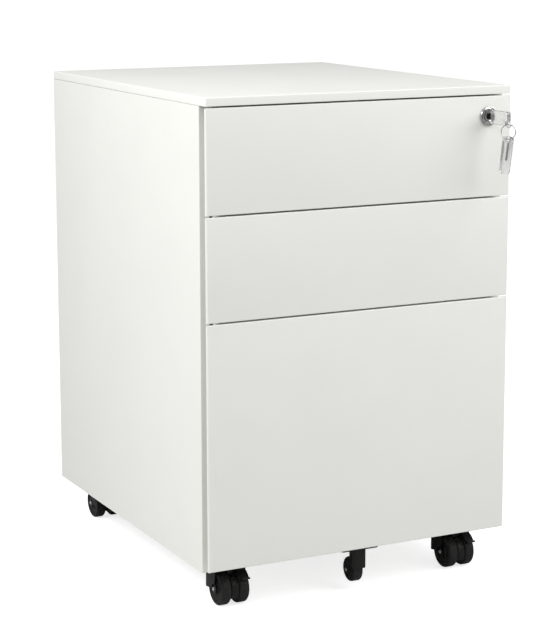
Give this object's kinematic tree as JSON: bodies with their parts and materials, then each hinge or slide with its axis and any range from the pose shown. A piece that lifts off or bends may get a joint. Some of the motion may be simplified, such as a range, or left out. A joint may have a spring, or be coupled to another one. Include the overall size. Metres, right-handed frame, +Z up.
{
  "type": "mobile filing cabinet",
  "caption": "Mobile steel pedestal with two box drawers above a deep file drawer, side finger grips, a cam lock with folding keys, swivel casters and an anti-tip wheel.",
  "frame": {"origin": "on the floor, on the cabinet's middle plane, half-way between the back and the front-most point of the key ring", "axes": "+Z up; -Y out of the drawer fronts, the way the drawers open; +X to the right when facing the drawers"},
  "size_m": [0.4, 0.5293, 0.6],
  "materials": {
    "case_paint": "white powder coat, semi-matt, fine orange peel",
    "front_paint": "white powder coat, semi-matt, fine orange peel",
    "tray_paint": "white powder coat, semi-matt",
    "zinc_steel": "zinc-plated, faint roll marks",
    "lock_chrome": "polished plating",
    "ring_steel": "bright wire",
    "key_steel": "dark nickel",
    "key_plastic": "clear moulded plastic",
    "caster_plastic": "black moulded nylon, slight sheen",
    "wheel_plastic": "black moulded nylon tread, scuffed",
    "axle_steel": "turned steel end"
  },
  "bodies": {
    "cabinet": {"left_side_panel": "case_paint", "right_side_panel": "case_paint", "back_panel": "case_paint", "base_pan": "case_paint", "top_panel": "case_paint", "front_rail": "case_paint", "top_slide_outer_left": "zinc_steel", "top_slide_outer_right": "zinc_steel", "middle_slide_outer_left": "zinc_steel", "middle_slide_outer_right": "zinc_steel", "file_slide_outer_left": "zinc_steel", "file_slide_outer_right": "zinc_steel", "front_left_caster_plate": "zinc_steel", "front_right_caster_plate": "zinc_steel", "rear_left_caster_plate": "zinc_steel", "rear_right_caster_plate": "zinc_steel"},
    "lock_bar": {"lock_bar": "zinc_steel"},
    "top_drawer": {"top_drawer_front": "front_paint", "top_drawer_tray": "tray_paint", "top_slide_inner_left": "zinc_steel", "top_slide_inner_right": "zinc_steel", "lock_housing": "lock_chrome"},
    "middle_drawer": {"middle_drawer_front": "front_paint", "middle_drawer_tray": "tray_paint", "middle_slide_inner_left": "zinc_steel", "middle_slide_inner_right": "zinc_steel"},
    "file_drawer": {"file_drawer_front": "front_paint", "file_drawer_tray": "tray_paint", "file_slide_inner_left": "zinc_steel", "file_slide_inner_right": "zinc_steel", "tip_wheel_bracket": "caster_plastic", "tip_wheel_axle": "axle_steel"},
    "file_middle_slide_left": {"file_slide_middle_left": "zinc_steel"},
    "file_middle_slide_right": {"file_slide_middle_right": "zinc_steel"},
    "tip_wheel": {"tip_wheel": "wheel_plastic"},
    "lock_plug": {"lock_plug": "lock_chrome", "lock_cam": "zinc_steel"},
    "key": {"key_blade": "key_steel"},
    "key_bow": {"key_bow": "key_plastic"},
    "key_ring": {"key_ring": "ring_steel"},
    "spare_key": {"spare_key_bow": "key_plastic", "spare_key_blade": "key_steel"},
    "front_left_caster": {"front_left_caster_hood": "caster_plastic", "front_left_caster_axle": "axle_steel"},
    "front_left_wheel_left": {"front_left_wheel_left": "wheel_plastic"},
    "front_left_wheel_right": {"front_left_wheel_right": "wheel_plastic"},
    "front_left_brake_lever": {"front_left_brake_lever": "caster_plastic"},
    "front_right_caster": {"front_right_caster_hood": "caster_plastic", "front_right_caster_axle": "axle_steel"},
    "front_right_wheel_left": {"front_right_wheel_left": "wheel_plastic"},
    "front_right_wheel_right": {"front_right_wheel_right": "wheel_plastic"},
    "front_right_brake_lever": {"front_right_brake_lever": "caster_plastic"},
    "rear_left_caster": {"rear_left_caster_hood": "caster_plastic", "rear_left_caster_axle": "axle_steel"},
    "rear_left_wheel_left": {"rear_left_wheel_left": "wheel_plastic"},
    "rear_left_wheel_right": {"rear_left_wheel_right": "wheel_plastic"},
    "rear_right_caster": {"rear_right_caster_hood": "caster_plastic", "rear_right_caster_axle": "axle_steel"},
    "rear_right_wheel_left": {"rear_right_wheel_left": "wheel_plastic"},
    "rear_right_wheel_right": {"rear_right_wheel_right": "wheel_plastic"}
  },
  "joints": [
    {"name": "top_drawer_slide", "type": "slide", "parent": "cabinet", "child": "top_drawer", "axis": [0, -1, 0], "range_m": [0, 0.32]},
    {"name": "middle_drawer_slide", "type": "slide", "parent": "cabinet", "child": "middle_drawer", "axis": [0, -1, 0], "range_m": [0, 0.32]},
    {"name": "file_drawer_slide", "type": "slide", "parent": "cabinet", "child": "file_drawer", "axis": [0, -1, 0], "range_m": [0, 0.4]},
    {"name": "file_middle_slide_left", "type": "slide", "parent": "cabinet", "child": "file_middle_slide_left", "axis": [0, -1, 0], "range_m": [0, 0.2]},
    {"name": "file_middle_slide_right", "type": "slide", "parent": "cabinet", "child": "file_middle_slide_right", "axis": [0, -1, 0], "range_m": [0, 0.2]},
    {"name": "tip_wheel_spin", "type": "hinge", "parent": "file_drawer", "child": "tip_wheel", "pos_m": [0, -0.19476, 0.025], "axis": [1, 0, 0], "continuous": true},
    {"name": "lock_turn", "type": "hinge", "parent": "top_drawer", "child": "lock_plug", "pos_m": [0.169, -0.21527, 0.564], "axis": [0, 1, 0], "range_deg": [0, 90]},
    {"name": "lock_bar_slide", "type": "slide", "parent": "cabinet", "child": "lock_bar", "axis": [0, 0, -1], "range_m": [0, 0.009]},
    {"name": "key_pull", "type": "slide", "parent": "lock_plug", "child": "key", "axis": [0, -1, 0], "range_m": [0, 0.03]},
    {"name": "key_fold", "type": "hinge", "parent": "key", "child": "key_bow", "pos_m": [0.169, -0.22826, 0.564], "axis": [1, 0, 0], "range_deg": [0, 90]},
    {"name": "key_ring_swing", "type": "hinge", "parent": "key_bow", "child": "key_ring", "pos_m": [0.169, -0.25856, 0.5575], "axis": [1, 0, 0], "range_deg": [-90.1, 0.1]},
    {"name": "spare_key_swing", "type": "hinge", "parent": "key_ring", "child": "spare_key", "pos_m": [0.169, -0.25856, 0.5407], "axis": [0, 1, 0], "range_deg": [-90.1, 0.1]},
    {"name": "front_left_caster_swivel", "type": "hinge", "parent": "cabinet", "child": "front_left_caster", "pos_m": [-0.155, -0.15826, 0.052], "axis": [0, 0, 1], "continuous": true},
    {"name": "front_left_wheel_left_spin", "type": "hinge", "parent": "front_left_caster", "child": "front_left_wheel_left", "pos_m": [-0.1666, -0.17427, 0.02], "axis": [1, 0, 0], "continuous": true},
    {"name": "front_left_wheel_right_spin", "type": "hinge", "parent": "front_left_caster", "child": "front_left_wheel_right", "pos_m": [-0.1434, -0.17427, 0.02], "axis": [1, 0, 0], "continuous": true},
    {"name": "front_left_brake", "type": "hinge", "parent": "front_left_caster", "child": "front_left_brake_lever", "pos_m": [-0.155, -0.17427, 0.02], "axis": [1, 0, 0], "range_deg": [0, 12]},
    {"name": "front_right_caster_swivel", "type": "hinge", "parent": "cabinet", "child": "front_right_caster", "pos_m": [0.155, -0.15826, 0.052], "axis": [0, 0, 1], "continuous": true},
    {"name": "front_right_wheel_left_spin", "type": "hinge", "parent": "front_right_caster", "child": "front_right_wheel_left", "pos_m": [0.1434, -0.17427, 0.02], "axis": [1, 0, 0], "continuous": true},
    {"name": "front_right_wheel_right_spin", "type": "hinge", "parent": "front_right_caster", "child": "front_right_wheel_right", "pos_m": [0.1666, -0.17427, 0.02], "axis": [1, 0, 0], "continuous": true},
    {"name": "front_right_brake", "type": "hinge", "parent": "front_right_caster", "child": "front_right_brake_lever", "pos_m": [0.155, -0.17427, 0.02], "axis": [1, 0, 0], "range_deg": [0, 12]},
    {"name": "rear_left_caster_swivel", "type": "hinge", "parent": "cabinet", "child": "rear_left_caster", "pos_m": [-0.155, 0.20474, 0.052], "axis": [0, 0, 1], "continuous": true},
    {"name": "rear_left_wheel_left_spin", "type": "hinge", "parent": "rear_left_caster", "child": "rear_left_wheel_left", "pos_m": [-0.1666, 0.22073, 0.02], "axis": [1, 0, 0], "continuous": true},
    {"name": "rear_left_wheel_right_spin", "type": "hinge", "parent": "rear_left_caster", "child": "rear_left_wheel_right", "pos_m": [-0.1434, 0.22073, 0.02], "axis": [1, 0, 0], "continuous": true},
    {"name": "rear_right_caster_swivel", "type": "hinge", "parent": "cabinet", "child": "rear_right_caster", "pos_m": [0.155, 0.20474, 0.052], "axis": [0, 0, 1], "continuous": true},
    {"name": "rear_right_wheel_left_spin", "type": "hinge", "parent": "rear_right_caster", "child": "rear_right_wheel_left", "pos_m": [0.1434, 0.22073, 0.02], "axis": [1, 0, 0], "continuous": true},
    {"name": "rear_right_wheel_right_spin", "type": "hinge", "parent": "rear_right_caster", "child": "rear_right_wheel_right", "pos_m": [0.1666, 0.22073, 0.02], "axis": [1, 0, 0], "continuous": true}
  ],
  "couplings": [
    {"joint": "file_middle_slide_left", "follows": "file_drawer_slide", "ratio": 0.5},
    {"joint": "file_middle_slide_right", "follows": "file_drawer_slide", "ratio": 0.5},
    {"joint": "lock_turn", "follows": "lock_bar_slide", "rad_per_m": 174.53},
    {"joint": "spare_key_swing", "follows": "lock_bar_slide", "rad_per_m": -174.53},
    {"joint": "key_ring_swing", "follows": "key_fold", "ratio": -1}
  ]
}
